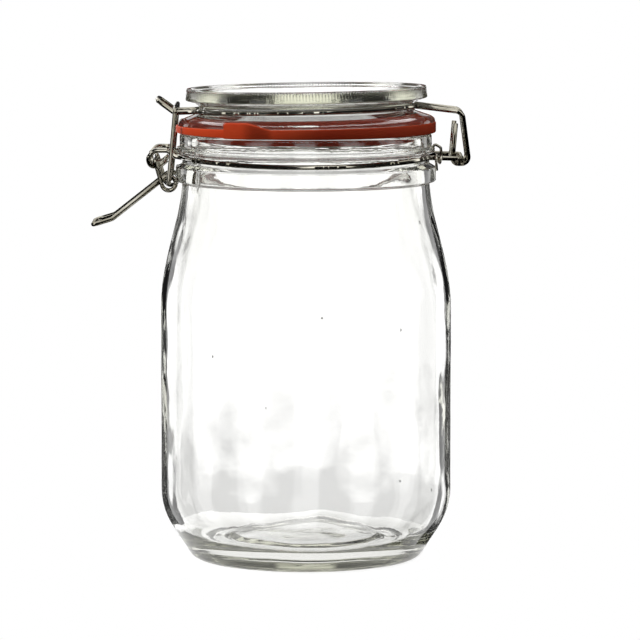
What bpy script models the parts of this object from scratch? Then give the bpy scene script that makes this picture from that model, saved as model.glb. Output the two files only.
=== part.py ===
"""Clip top preserving jar: glass jar, glass lid, rubber sealing ring and sprung wire clip.

The jar stands on the XY plane with its clip towards -X and its hinge towards +X. Everything is
placed round the jar's own upright axis, which an empty carries, so that the origin is under the
middle of the whole object.
"""

import math

import bmesh
import bpy
from mathutils import Vector

MM = 0.001
GAP = 0.3 * MM
TURNED_STEPS = 48
SOFT_EDGE_ANGLE = math.radians(40)
MERGE_DISTANCE = 0.01 * MM

# Glass jar
BODY_RADIUS = 53.1 * MM
BODY_TOP_Z = 93 * MM
WALL = 3.2 * MM
FOOT_INNER_RADIUS = 36.9 * MM
FOOT_OUTER_RADIUS = 38.9 * MM
FOOT_ROUNDING = 5 * MM
HEEL_SLOPE = math.radians(33)
HEEL_ROUNDING = 25.7 * MM
PUSH_UP_RADIUS = 28 * MM
PUSH_UP_HEIGHT = 3.4 * MM
FLOOR_THICKNESS = 4.4 * MM
VALLEY_RADIUS = 33.5 * MM
VALLEY_Z = 5.4 * MM
INNER_HEEL_Z = 27 * MM
SHOULDER_END_Z = 142 * MM
NECK_RADIUS = 45.2 * MM
MOUTH_RADIUS = 40.6 * MM
COLLAR_RADIUS = 47.6 * MM
COLLAR_BOTTOM_Z = 138.2 * MM
COLLAR_TOP_Z = 145.4 * MM
BEAD_RADIUS = 47.2 * MM
BEAD_BOTTOM_Z = 149.1 * MM
BEAD_TOP_Z = 151.4 * MM
FINISH_RADIUS = 46.1 * MM
LIP_Z = 156.3 * MM

# Rubber sealing ring with its pull tab
RING_RADIUS = 47.5 * MM
RING_INNER_RADIUS = 40 * MM
RING_THICKNESS = 2.9 * MM
RING_BOTTOM_Z = LIP_Z + GAP
RING_TOP_Z = RING_BOTTOM_Z + RING_THICKNESS
TAB_RADIUS = 50.4 * MM
TAB_TOP_Z = RING_TOP_Z + 2.6 * MM
RING_FACET_ANGLE = 9
TAB_TIP_ANGLE = -126
TAB_BLOCK_ANGLE = -117
TAB_ROOT_ANGLE = -104
TAB_TIP_WIDTH = 0.4
TAB_SLOPE_STEPS = 3

# Glass lid
LID_TOP_Z = 172.3 * MM
LID_PLATE_Z = 171.4 * MM
RIM_RADIUS = 44.3 * MM
RIM_TOP_RADIUS = 43.7 * MM
RIM_BOTTOM_Z = 169.5 * MM
GROOVE_RADIUS = 39.4 * MM
GROOVE_TOP_Z = 167.2 * MM
GROOVE_BOTTOM_Z = 164.3 * MM
FLANGE_RADIUS = 47 * MM
FLANGE_TOP_Z = 161.6 * MM
FLANGE_BOTTOM_Z = RING_TOP_Z + GAP
SPIGOT_RADIUS = 39.4 * MM
SPIGOT_BOTTOM_Z = 154.7 * MM
RECESS_RADIUS = 35.8 * MM
RECESS_TOP_Z = 167.2 * MM

# Wires: the neck and lid wires are thicker than the two that make the clip
HEAVY_WIRE = 0.9 * MM
LIGHT_WIRE = 0.8 * MM
WIRE_SIDES_LEVEL = 2
RING_STEPS = 24
BEND_STEPS = 4

# Hinge, seen from the front: the neck wire's bar lies in the lid wire's two hooks
HINGE_X = 56.4 * MM
HINGE_Z = 147.5 * MM
HINGE_LEG_Y = 12.2 * MM
HOOK_Y = 9.7 * MM
HOOK_INNER_X = 53.1 * MM
HOOK_OUTER_X = 59.3 * MM
HOOK_BOTTOM_Z = HINGE_Z - 2 * HEAVY_WIRE - GAP
FINGER_TIP_X = 54.4 * MM
FINGER_TIP_Z = 160 * MM
HINGE_CORNER_X = 55.9 * MM
HINGE_CORNER_Z = 164.2 * MM

# Neck wire, which dips a little at the front and the back
NECK_WIRE_RADIUS = 46.4 * MM
NECK_WIRE_Z = 147.9 * MM
NECK_WIRE_DIP = 1.3 * MM
EYE_Y = 11.4 * MM
EYE_BENDS = (
    (-47.2 * MM, 148.2 * MM, 1.4 * MM),
    (-50.2 * MM, 151.2 * MM, 1.8 * MM),
    (-54.9 * MM, 151.2 * MM, 2.6 * MM),
    (-57.4 * MM, 147.6 * MM, 2.2 * MM),
    (-56.4 * MM, 144.4 * MM, 1.9 * MM),
    (-52.6 * MM, 145.1 * MM, 1.2 * MM),
    (-50.4 * MM, 147.0 * MM, 0),
)

# Tie wire, wound once round the neck wire's near hinge leg, one tail curled and one hanging
TIE_WIRE = 0.5 * MM
TIE_RADIUS = HEAVY_WIRE + TIE_WIRE + GAP
TIE_Z = HINGE_Z + 0.1 * MM
TIE_START_X = 49.2 * MM
TIE_END_X = 47.2 * MM
TIE_START_ANGLE = 50
TIE_END_ANGLE = -375
TIE_STEPS = 20
TIE_CURL = (
    (45.9 * MM, 151.4 * MM, 0),
    (46.7 * MM, 152.9 * MM, 0.8 * MM),
    (48.9 * MM, 151.6 * MM, 0.8 * MM),
)
TIE_TAIL_X = 47.5 * MM
TIE_TAIL_Z = 143.2 * MM

# Lid wire, which lies lower in its groove at the clip than at the hinge
LID_WIRE_RADIUS = 40.7 * MM
LID_WIRE_Z = 165.65 * MM
LID_WIRE_RISE = 0.6 * MM
NOSE_Y = 10 * MM
NOSE_BEND_X = -47.7 * MM
NOSE_BEND_Z = 164.9 * MM
NOSE_TIP_X = -53.9 * MM
NOSE_TIP_Z = 169.6 * MM

# Clip lever: pivot pins in the neck wire's eyes, cranks, one open coil each side and a handle
PIVOT_X = -54.8 * MM
PIVOT_Z = 147.1 * MM
PIN_END_Y = 9.6 * MM
CRANK_Y = 13.7 * MM
COIL_X = -49.7 * MM
COIL_Z = 138.5 * MM
COIL_RADIUS = 2.5 * MM
COIL_STEPS = 11
HANDLE_Y = 11.8 * MM
ELBOW_X = -70.3 * MM
ELBOW_Z = 126.7 * MM
TIP_X = -77.4 * MM
TIP_Z = 124.3 * MM

# Clip link: a yoke from the lever's coils up to a bar over the lid wire's nose
LINK_Y = 15.6 * MM
LINK_PIN_END_Y = 10.4 * MM
LINK_BAR_X = -47.2 * MM
LINK_BAR_Z = 167 * MM

# The whole object reaches from the handle's tip to the hooks, and its middle is the origin
CLIP_REACH = -TIP_X + LIGHT_WIRE
HINGE_REACH = HOOK_OUTER_X + HEAVY_WIRE
AXIS_X = (CLIP_REACH - HINGE_REACH) / 2


def clear_scene():
    """Remove every object that the scene starts with."""
    for scene_object in list(bpy.data.objects):
        bpy.data.objects.remove(scene_object, do_unlink=True)


def principled(name, colour, roughness, metallic=0.0, transmission=0.0, ior=1.5):
    """A Principled material of one finish."""
    material = bpy.data.materials.new(name)
    material.use_nodes = True
    material.diffuse_color = (*colour, 1)
    shader = material.node_tree.nodes["Principled BSDF"]
    shader.inputs["Base Color"].default_value = (*colour, 1)
    shader.inputs["Roughness"].default_value = roughness
    shader.inputs["Metallic"].default_value = metallic
    shader.inputs["Transmission Weight"].default_value = transmission
    shader.inputs["IOR"].default_value = ior
    return material


def empty(name, location, parent=None):
    """An empty that carries other objects."""
    carrier = bpy.data.objects.new(name, None)
    carrier.empty_display_size = 10 * MM
    carrier.parent = parent
    carrier.location = location
    bpy.context.collection.objects.link(carrier)
    return carrier


def place(name, data, material, carrier, carrier_place):
    """Hang an object, drawn round the jar's axis, on an empty that lies at carrier_place."""
    data.materials.append(material)
    piece = bpy.data.objects.new(name, data)
    piece.parent = carrier
    piece.location = -Vector(carrier_place)
    bpy.context.collection.objects.link(piece)
    return piece


def arc(centre, radius, start, end, steps):
    """Points on a circle in a plane, from one angle to another in degrees."""
    angles = [math.radians(start + (end - start) * i / steps) for i in range(steps + 1)]
    return [(centre[0] + radius * math.cos(a), centre[1] + radius * math.sin(a)) for a in angles]


def half_wave(start, end, steps):
    """Points on a smooth S from one (radius, height) to another, upright at both ends."""
    points = []
    for i in range(steps + 1):
        t = i / steps
        ease = (1 - math.cos(math.pi * t)) / 2
        points.append((start[0] + (end[0] - start[0]) * ease, start[1] + (end[1] - start[1]) * t))
    return points


def finished_mesh(name, bm):
    """A mesh of a bmesh's closed shape: doubles merged, faces outwards, shaded smooth."""
    bmesh.ops.remove_doubles(bm, verts=bm.verts, dist=MERGE_DISTANCE)
    bmesh.ops.recalc_face_normals(bm, faces=bm.faces)
    mesh = bpy.data.meshes.new(name)
    bm.to_mesh(mesh)
    bm.free()
    mesh.shade_smooth()
    mesh.set_sharp_from_angle(angle=SOFT_EDGE_ANGLE)
    return mesh


def turned_mesh(name, profile):
    """A closed mesh turned about the Z axis from a profile that starts and ends on that axis."""
    bm = bmesh.new()
    verts = [bm.verts.new((radius, 0, z)) for radius, z in profile]
    edges = [bm.edges.new(pair) for pair in zip(verts, verts[1:])]
    bmesh.ops.spin(bm, geom=verts + edges, cent=(0, 0, 0), axis=(0, 0, 1),
                   angle=2 * math.pi, steps=TURNED_STEPS, use_merge=True)
    return finished_mesh(name, bm)


def jar_underside():
    """The foot ring's underside and the push-up inside it, from the axis outwards."""
    return [
        (0, PUSH_UP_HEIGHT + 0.8 * MM),
        (0.6 * PUSH_UP_RADIUS, PUSH_UP_HEIGHT + 0.5 * MM),
        (PUSH_UP_RADIUS - 1.2 * MM, PUSH_UP_HEIGHT - 0.4 * MM),
        (PUSH_UP_RADIUS + 1.4 * MM, 1.5 * MM),
        (FOOT_INNER_RADIUS - 1.4 * MM, 1 * MM),
        (FOOT_INNER_RADIUS, 0),
    ]


def jar_heel():
    """The foot's rounding, the slanting heel and the rounding up into the body's wall."""
    slope = math.degrees(HEEL_SLOPE)
    foot = arc((FOOT_OUTER_RADIUS, FOOT_ROUNDING), FOOT_ROUNDING, -90, -slope, 3)
    slant_end = BODY_RADIUS - HEEL_ROUNDING * (1 - math.cos(HEEL_SLOPE))
    slant_rise = (slant_end - foot[-1][0]) / math.tan(HEEL_SLOPE)
    heel_top = foot[-1][1] + slant_rise + HEEL_ROUNDING * math.sin(HEEL_SLOPE)
    heel_centre = (BODY_RADIUS - HEEL_ROUNDING, heel_top)
    return foot + arc(heel_centre, HEEL_ROUNDING, -slope, 0, 4)


def shoulder_radius(z):
    """The jar's outer radius at a height on its long shoulder."""
    t = (z - BODY_TOP_Z) / (SHOULDER_END_Z - BODY_TOP_Z)
    return BODY_RADIUS - (BODY_RADIUS - NECK_RADIUS) * (1 - math.cos(math.pi * t)) / 2


def jar_shoulder():
    """The outer wall's long S from the body to the step under the collar."""
    steps = 8
    heights = [BODY_TOP_Z + (COLLAR_BOTTOM_Z - BODY_TOP_Z) * i / steps for i in range(steps + 1)]
    return [(shoulder_radius(z), z) for z in heights]


def jar_finish():
    """The collar, the neck wire's groove, the bead over it and the lip, upwards."""
    lip_middle = (FINISH_RADIUS + MOUTH_RADIUS) / 2
    return [
        (COLLAR_RADIUS - 0.3 * MM, COLLAR_BOTTOM_Z + 0.5 * MM),
        (COLLAR_RADIUS, COLLAR_BOTTOM_Z + 1.2 * MM),
        (COLLAR_RADIUS, COLLAR_TOP_Z - 1.9 * MM),
        (COLLAR_RADIUS - 0.8 * MM, COLLAR_TOP_Z - 0.6 * MM),
        (NECK_RADIUS, COLLAR_TOP_Z),
        (NECK_RADIUS, BEAD_BOTTOM_Z - 0.1 * MM),
        (BEAD_RADIUS - 0.3 * MM, BEAD_BOTTOM_Z + 0.2 * MM),
        (BEAD_RADIUS, BEAD_BOTTOM_Z + 0.8 * MM),
        (BEAD_RADIUS - 0.2 * MM, BEAD_TOP_Z - 0.7 * MM),
        (FINISH_RADIUS, BEAD_TOP_Z),
        (FINISH_RADIUS, LIP_Z - 1 * MM),
        (FINISH_RADIUS - 0.5 * MM, LIP_Z - 0.2 * MM),
        (lip_middle, LIP_Z),
        (MOUTH_RADIUS + 0.5 * MM, LIP_Z - 0.2 * MM),
        (MOUTH_RADIUS, LIP_Z - 0.9 * MM),
    ]


def jar_inside():
    """The inner wall from the mouth down to the axis, over the raised middle of the floor."""
    inner_radius = BODY_RADIUS - WALL
    heel_width = inner_radius - VALLEY_RADIUS
    heel_height = INNER_HEEL_Z - VALLEY_Z
    heel = []
    for i in range(6):
        angle = math.radians(90 * i / 5)
        heel.append((VALLEY_RADIUS + heel_width * math.cos(angle),
                     INNER_HEEL_Z - heel_height * math.sin(angle)))
    floor_z = PUSH_UP_HEIGHT + FLOOR_THICKNESS
    floor = [
        (PUSH_UP_RADIUS + 1 * MM, floor_z - 1.4 * MM),
        (PUSH_UP_RADIUS - 1.6 * MM, floor_z - 0.2 * MM),
        (0.5 * PUSH_UP_RADIUS, floor_z + 0.3 * MM),
        (0, floor_z + 0.6 * MM),
    ]
    shoulder = half_wave((MOUTH_RADIUS, SHOULDER_END_Z), (inner_radius, BODY_TOP_Z), 8)
    return shoulder + heel + floor


def glass_jar_mesh():
    """The jar: an open vessel of one piece of glass."""
    profile = jar_underside() + jar_heel() + jar_shoulder() + jar_finish() + jar_inside()
    return turned_mesh("glass_jar", profile)


def glass_lid_mesh():
    """The lid: rim, wire groove, flange and spigot, hollow underneath."""
    profile = [
        (0, LID_PLATE_Z - 0.2 * MM),
        (RIM_TOP_RADIUS - 3 * MM, LID_PLATE_Z),
        (RIM_TOP_RADIUS - 1.9 * MM, LID_TOP_Z - 0.2 * MM),
        (RIM_TOP_RADIUS - 0.5 * MM, LID_TOP_Z),
        (RIM_TOP_RADIUS, LID_TOP_Z - 0.4 * MM),
        (RIM_RADIUS, RIM_BOTTOM_Z),
        (RIM_RADIUS - 0.4 * MM, RIM_BOTTOM_Z - 0.5 * MM),
        (GROOVE_RADIUS + 1.4 * MM, GROOVE_TOP_Z + 0.4 * MM),
        (GROOVE_RADIUS, GROOVE_TOP_Z),
        (GROOVE_RADIUS, GROOVE_BOTTOM_Z),
        (GROOVE_RADIUS + 0.6 * MM, GROOVE_BOTTOM_Z - 0.5 * MM),
        (FLANGE_RADIUS - 0.5 * MM, FLANGE_TOP_Z),
        (FLANGE_RADIUS, FLANGE_TOP_Z - 0.5 * MM),
        (FLANGE_RADIUS, FLANGE_BOTTOM_Z + 0.3 * MM),
        (FLANGE_RADIUS - 0.3 * MM, FLANGE_BOTTOM_Z),
        (SPIGOT_RADIUS, FLANGE_BOTTOM_Z),
        (SPIGOT_RADIUS - 0.2 * MM, SPIGOT_BOTTOM_Z + 0.7 * MM),
        (SPIGOT_RADIUS - 0.9 * MM, SPIGOT_BOTTOM_Z),
        (RECESS_RADIUS + 0.7 * MM, SPIGOT_BOTTOM_Z),
        (RECESS_RADIUS, SPIGOT_BOTTOM_Z + 0.7 * MM),
        (RECESS_RADIUS - 1 * MM, RECESS_TOP_Z - 2.2 * MM),
        (RECESS_RADIUS - 2.6 * MM, RECESS_TOP_Z - 0.5 * MM),
        (RECESS_RADIUS - 5 * MM, RECESS_TOP_Z),
        (0, RECESS_TOP_Z + 0.2 * MM),
    ]
    return turned_mesh("glass_lid", profile)


def gasket_section(angle):
    """The sealing ring's section at an angle in degrees: (radius, height) points in order."""
    lift = 0
    if TAB_TIP_ANGLE <= angle <= TAB_BLOCK_ANGLE:
        lift = 1
    elif TAB_BLOCK_ANGLE < angle < TAB_ROOT_ANGLE:
        lift = (TAB_ROOT_ANGLE - angle) / (TAB_ROOT_ANGLE - TAB_BLOCK_ANGLE)
    outer = RING_RADIUS + (TAB_RADIUS - RING_RADIUS) * lift
    top = RING_TOP_Z + (TAB_TOP_Z - RING_TOP_Z) * lift
    step = FLANGE_RADIUS + GAP
    return [
        (RING_INNER_RADIUS, RING_BOTTOM_Z),
        (outer, RING_BOTTOM_Z),
        (outer, top),
        (step, top),
        (step, RING_TOP_Z),
        (RING_INNER_RADIUS, RING_TOP_Z),
    ]


def gasket_angles():
    """The angles of the sealing ring's sections, closer together along the tab."""
    plain = [a for a in range(-180, 180, RING_FACET_ANGLE)
             if not TAB_TIP_ANGLE - 2 < a < TAB_ROOT_ANGLE + 2]
    tip = [TAB_TIP_ANGLE - TAB_TIP_WIDTH, TAB_TIP_ANGLE, (TAB_TIP_ANGLE + TAB_BLOCK_ANGLE) / 2]
    step = (TAB_ROOT_ANGLE - TAB_BLOCK_ANGLE) / TAB_SLOPE_STEPS
    slope = [TAB_BLOCK_ANGLE + step * i for i in range(TAB_SLOPE_STEPS + 1)]
    return sorted(plain + tip + slope)


def gasket_mesh():
    """The sealing ring, whose thumb tab stands up outside the lid's flange."""
    bm = bmesh.new()
    loops = []
    for angle in gasket_angles():
        turn = math.radians(angle)
        section = gasket_section(angle)
        loops.append([bm.verts.new((r * math.cos(turn), r * math.sin(turn), z)) for r, z in section])
    for near, far in zip(loops, loops[1:] + loops[:1]):
        for i in range(len(near)):
            j = (i + 1) % len(near)
            bm.faces.new((near[i], near[j], far[j], far[i]))
    return finished_mesh("gasket", bm)


def rounded(corners):
    """Points along a wire, with each (point, bend radius) corner replaced by an arc."""
    points = [Vector(corners[0][0])]
    for (before, _), (corner, bend), (after, _) in zip(corners, corners[1:], corners[2:]):
        corner = Vector(corner)
        if not bend:
            points.append(corner)
            continue
        inward = (Vector(before) - corner).normalized()
        outward = (Vector(after) - corner).normalized()
        half = inward.angle(outward) / 2
        centre = corner + (inward + outward).normalized() * bend / math.sin(half)
        start = corner + inward * bend / math.tan(half) - centre
        end = corner + outward * bend / math.tan(half) - centre
        for i in range(BEND_STEPS + 1):
            t = i / BEND_STEPS
            turn = start.angle(end)
            spoke = (start * math.sin((1 - t) * turn) + end * math.sin(t * turn)) / math.sin(turn)
            points.append(centre + spoke)
    points.append(Vector(corners[-1][0]))
    return points


def wire(name, points, radius):
    """A round wire with closed ends along a list of points."""
    curve = bpy.data.curves.new(name, "CURVE")
    curve.dimensions = "3D"
    curve.bevel_depth = radius
    curve.bevel_resolution = WIRE_SIDES_LEVEL
    curve.use_fill_caps = True
    spline = curve.splines.new("POLY")
    spline.points.add(len(points) - 1)
    for spline_point, point in zip(spline.points, points):
        spline_point.co = (*point, 1)
    return curve


def mirrored(corners):
    """The same corners on the far side, in the opposite order."""
    return [((x, -y, z), bend) for (x, y, z), bend in reversed(corners)]


def front_ring(radius, start_y, end_y, height):
    """Corners of a ring's front half from the hinge side to the clip side.

    The half starts and ends where the ring is start_y and end_y in front of the middle plane,
    and height gives its level at a point (x, y).
    """
    start = -math.asin(start_y / radius)
    end = math.asin(end_y / radius) - math.pi
    corners = []
    for i in range(RING_STEPS + 1):
        angle = start + (end - start) * i / RING_STEPS
        x, y = radius * math.cos(angle), radius * math.sin(angle)
        corners.append(((x, y, height(x, y)), 0))
    corners[0] = (corners[0][0], 2 * MM)
    corners[-1] = (corners[-1][0], 2 * MM)
    return corners


def neck_wire_height(_x, y):
    """The neck ring's level, lowest at the front and the back."""
    return NECK_WIRE_Z - NECK_WIRE_DIP * (y / NECK_WIRE_RADIUS) ** 2


def lid_wire_height(x, _y):
    """The lid ring's level, rising from the clip to the hinge."""
    return LID_WIRE_Z + LID_WIRE_RISE * x / LID_WIRE_RADIUS


def neck_wire():
    """One wire: the near eye, the ring round the neck, the hinge's bar and the far eye."""
    hinge = [
        ((HINGE_X, 0, HINGE_Z), 0),
        ((HINGE_X, -HINGE_LEG_Y, HINGE_Z), 1.8 * MM),
    ]
    eye = [((x, -EYE_Y, z), bend) for x, z, bend in EYE_BENDS]
    ring = front_ring(NECK_WIRE_RADIUS, HINGE_LEG_Y, EYE_Y, neck_wire_height)
    near = hinge + ring + eye
    return wire("neck_wire", rounded(mirrored(near)[:-1] + near), HEAVY_WIRE)


def tie_wire():
    """A thin wire wound round the near hinge leg, with one tail curled up and one hanging down."""
    curl = [((x, -HINGE_LEG_Y - TIE_RADIUS, z), bend) for x, z, bend in TIE_CURL]
    winding = []
    for i in range(TIE_STEPS + 1):
        t = i / TIE_STEPS
        angle = math.radians(TIE_START_ANGLE + (TIE_END_ANGLE - TIE_START_ANGLE) * t)
        winding.append(((TIE_START_X + (TIE_END_X - TIE_START_X) * t,
                         -HINGE_LEG_Y - TIE_RADIUS * math.cos(angle),
                         TIE_Z + TIE_RADIUS * math.sin(angle)), 0))
    tail = [((TIE_TAIL_X, -HINGE_LEG_Y - TIE_RADIUS, TIE_TAIL_Z), 0)]
    return wire("tie_wire", rounded(curl + winding + tail), TIE_WIRE)


def lid_wire():
    """One wire: hooks over the hinge's bar, the ring in the lid's groove and the clip's nose."""
    hook = [
        ((FINGER_TIP_X, -HOOK_Y, FINGER_TIP_Z), 0),
        ((HOOK_INNER_X, -HOOK_Y, HOOK_BOTTOM_Z), 2.1 * MM),
        ((HOOK_OUTER_X, -HOOK_Y, HOOK_BOTTOM_Z), 2.4 * MM),
        ((HINGE_CORNER_X, -HOOK_Y, HINGE_CORNER_Z), 3 * MM),
    ]
    ring = front_ring(LID_WIRE_RADIUS, HOOK_Y, NOSE_Y, lid_wire_height)
    nose = [
        ((NOSE_BEND_X, -NOSE_Y, NOSE_BEND_Z), 1.5 * MM),
        ((NOSE_TIP_X, -NOSE_Y, NOSE_TIP_Z), 2.5 * MM),
        ((NOSE_TIP_X, 0, NOSE_TIP_Z), 0),
    ]
    near = hook + ring + nose
    return wire("lid_wire", rounded(near + mirrored(near)[1:]), HEAVY_WIRE)


def lever_coil():
    """Corners of the near coil, from the crank's foot round to the start of the handle."""
    crank = Vector((COIL_X - PIVOT_X, COIL_Z - PIVOT_Z))
    crank_angle = math.atan2(crank.y, crank.x) - math.asin(COIL_RADIUS / crank.length)
    start = crank_angle - math.pi / 2 + 2 * math.pi
    reach = Vector((ELBOW_X - COIL_X, ELBOW_Z - COIL_Z))
    handle_angle = math.atan2(reach.y, reach.x) + math.asin(COIL_RADIUS / reach.length)
    end = handle_angle - math.pi / 2 + 4 * math.pi
    corners = []
    for i in range(COIL_STEPS + 1):
        t = i / COIL_STEPS
        angle = start + (end - start) * t
        corners.append(((COIL_X + COIL_RADIUS * math.cos(angle),
                         -CRANK_Y + (CRANK_Y - HANDLE_Y) * t,
                         COIL_Z + COIL_RADIUS * math.sin(angle)), 0))
    return corners


def clip_lever():
    """One wire: pivot pins, cranks, coils and the handle that joins the two sides."""
    near = [
        ((PIVOT_X, -PIN_END_Y, PIVOT_Z), 0),
        ((PIVOT_X, -CRANK_Y, PIVOT_Z), 1.2 * MM),
    ]
    near += lever_coil()
    near += [
        ((ELBOW_X, -HANDLE_Y, ELBOW_Z), 4 * MM),
        ((TIP_X, -HANDLE_Y, TIP_Z), 3 * MM),
        ((TIP_X, 0, TIP_Z), 0),
    ]
    return wire("clip_lever", rounded(near + mirrored(near)[1:]), LIGHT_WIRE)


def clip_link():
    """One wire: pins in the lever's coils, two legs and the bar over the lid wire's nose."""
    near = [
        ((COIL_X, -LINK_PIN_END_Y, COIL_Z), 0),
        ((COIL_X, -LINK_Y, COIL_Z), 1.4 * MM),
        ((LINK_BAR_X, -LINK_Y, LINK_BAR_Z), 2 * MM),
        ((LINK_BAR_X, 0, LINK_BAR_Z), 0),
    ]
    return wire("clip_link", rounded(near + mirrored(near)[1:]), LIGHT_WIRE)


def build():
    """Build the jar and hang each moving piece on its joint's axis."""
    clear_scene()
    clear_glass = principled("clear_glass", (0.93, 0.96, 0.93), 0.03, transmission=1.0, ior=1.52)
    wire_steel = principled("wire_steel", (0.55, 0.54, 0.5), 0.22, metallic=1.0)
    red_rubber = principled("red_rubber", (0.55, 0.09, 0.03), 0.55)

    jar_axis = empty("jar_axis", (AXIS_X, 0, 0))
    hinge_place = (HINGE_X, 0, HINGE_Z)
    pivot_place = (PIVOT_X, 0, PIVOT_Z)
    coil_place = (COIL_X, 0, COIL_Z)
    hinge_axis = empty("hinge_axis", hinge_place, jar_axis)
    lever_axis = empty("lever_axis", pivot_place, jar_axis)
    link_axis = empty("link_axis", Vector(coil_place) - Vector(pivot_place), lever_axis)

    place("glass_jar", glass_jar_mesh(), clear_glass, jar_axis, (0, 0, 0))
    place("neck_wire", neck_wire(), wire_steel, jar_axis, (0, 0, 0))
    place("tie_wire", tie_wire(), wire_steel, jar_axis, (0, 0, 0))
    place("glass_lid", glass_lid_mesh(), clear_glass, hinge_axis, hinge_place)
    place("gasket", gasket_mesh(), red_rubber, hinge_axis, hinge_place)
    place("lid_wire", lid_wire(), wire_steel, hinge_axis, hinge_place)
    place("clip_lever", clip_lever(), wire_steel, lever_axis, pivot_place)
    place("clip_link", clip_link(), wire_steel, link_axis, coil_place)


build()
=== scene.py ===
"""Looks of a clip top preserving jar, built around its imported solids.

The jar's glass, lid, sealing ring and wires are modelled again here as smooth, finely turned and
swept meshes, in the places that their solids hold. All sizes are in millimetres until a mesh is
finished, and radii and X are counted from the jar's own upright axis.
"""

import logging
import math
from dataclasses import dataclass
from enum import Enum

import bmesh
import bpy
from mathutils import Matrix, Vector, noise


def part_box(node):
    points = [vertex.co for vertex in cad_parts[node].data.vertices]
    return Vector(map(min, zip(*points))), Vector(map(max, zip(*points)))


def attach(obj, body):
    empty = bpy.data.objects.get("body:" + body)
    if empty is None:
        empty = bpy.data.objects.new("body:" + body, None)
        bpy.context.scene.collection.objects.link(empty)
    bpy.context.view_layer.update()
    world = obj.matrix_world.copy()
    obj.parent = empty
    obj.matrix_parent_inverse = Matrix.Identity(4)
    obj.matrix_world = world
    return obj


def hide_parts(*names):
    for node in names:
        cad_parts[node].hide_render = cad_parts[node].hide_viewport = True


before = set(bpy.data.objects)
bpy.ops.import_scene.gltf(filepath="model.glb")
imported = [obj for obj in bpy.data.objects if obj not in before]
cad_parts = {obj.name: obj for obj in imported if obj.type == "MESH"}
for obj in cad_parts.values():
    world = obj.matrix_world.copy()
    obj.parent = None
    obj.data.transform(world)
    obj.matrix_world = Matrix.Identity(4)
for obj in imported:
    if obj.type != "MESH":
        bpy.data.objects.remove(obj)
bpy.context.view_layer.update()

MM = 0.001
LOG = logging.getLogger("clip_top_jar")

# Radius or X, height and bend radius of one corner of an outline or a wire
Corner = tuple[float, float, float]
# Place and bend radius of one corner of a wire
Bend = tuple[Vector, float]

# Points nearer than these many millimetres are one: across a seam, across a wire's seam, along a
# wire and at the axis
SEAM = 0.001
WIRE_SEAM = 0.0005
WIRE_STEP = 0.01
AXIS = 0.01
# A line that turns by less than this many radians keeps its corner
SMALLEST_TURN = math.radians(1)


class Slot(Enum):
    """The record's material slots."""

    GLASS = "clear_glass"
    WIRE = "wire_steel"
    RUBBER = "red_rubber"


class Body(Enum):
    """The bodies that the pieces ride on."""

    JAR = "jar"
    LID = "lid"
    LEVER = "lever"
    LINK = "link"


def jar_axis_x() -> float:
    """The jar's upright axis, in metres along X, read from the middle of its solid's box."""
    low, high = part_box("glass_jar")
    return (low.x + high.x) / 2


def rounded(corners: list[Bend], arc_step: float) -> list[Vector]:
    """Draw a line through corners, with each bend replaced by an arc.

    Args:
        corners: Each corner's place and its bend radius, 0 where it stays sharp.
        arc_step: The largest turn in degrees between two points of an arc.

    Returns:
        The points of the whole line.
    """
    points = [corners[0][0]]
    for (before, _), (corner, bend), (after, _) in zip(corners, corners[1:], corners[2:]):
        inward = (before - corner).normalized()
        outward = (after - corner).normalized()
        turn = math.pi - inward.angle(outward)
        if not bend or turn < SMALLEST_TURN:
            points.append(corner)
            continue
        half = (math.pi - turn) / 2
        centre = corner + (inward + outward).normalized() * bend / math.sin(half)
        start = corner + inward * bend / math.tan(half) - centre
        end = corner + outward * bend / math.tan(half) - centre
        steps = max(2, math.ceil(math.degrees(turn) / arc_step))
        for i in range(steps + 1):
            t = i / steps
            spoke = start * math.sin((1 - t) * turn) + end * math.sin(t * turn)
            points.append(centre + spoke / math.sin(turn))
    points.append(corners[-1][0])
    return points


def outline(corners: list[Corner], arc_step: float) -> list[tuple[float, float]]:
    """Round a turned outline's corners.

    Args:
        corners: Radius, height and bend radius of each corner, in millimetres.
        arc_step: The largest turn in degrees between two points of an arc.

    Returns:
        Radius and height of each point.
    """
    line = rounded([(Vector((r, 0, z)), bend) for r, z, bend in corners], arc_step)
    return [(point.x, point.z) for point in line]


def divided(points: list[tuple[float, float]], longest: float) -> list[tuple[float, float]]:
    """Add points along an outline so that no step of it is long.

    Args:
        points: Radius and height of each point.
        longest: The longest step, in millimetres.

    Returns:
        The old points with the new ones between them.
    """
    result = [points[0]]
    for (r0, z0), (r1, z1) in zip(points, points[1:]):
        steps = max(1, math.ceil(math.hypot(r1 - r0, z1 - z0) / longest))
        for i in range(1, steps + 1):
            t = i / steps
            result.append((r0 + (r1 - r0) * t, z0 + (z1 - z0) * t))
    return result


def spun_round(bm: bmesh.types.BMesh, geom: list, turns: int) -> None:
    """Spin an outline through a wedge, double the wedge until it is whole, and close the seams.

    Args:
        bm: Holds the outline and takes the shape.
        geom: The outline's vertices and edges.
        turns: The steps of a whole turn, a multiple of 16.
    """
    doublings = 4
    wedge = 2 * math.pi / 2 ** doublings
    bmesh.ops.spin(bm, geom=geom, cent=(0, 0, 0), axis=(0, 0, 1), angle=wedge,
                   steps=turns // 2 ** doublings)
    for i in range(doublings):
        copied = bmesh.ops.duplicate(bm, geom=bm.verts[:] + bm.edges[:] + bm.faces[:])["geom"]
        verts = [item for item in copied if isinstance(item, bmesh.types.BMVert)]
        bmesh.ops.rotate(bm, verts=verts, cent=(0, 0, 0), matrix=Matrix.Rotation(wedge * 2 ** i, 3, "Z"))
    bmesh.ops.remove_doubles(bm, verts=bm.verts, dist=SEAM)
    bmesh.ops.recalc_face_normals(bm, faces=bm.faces)


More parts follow.
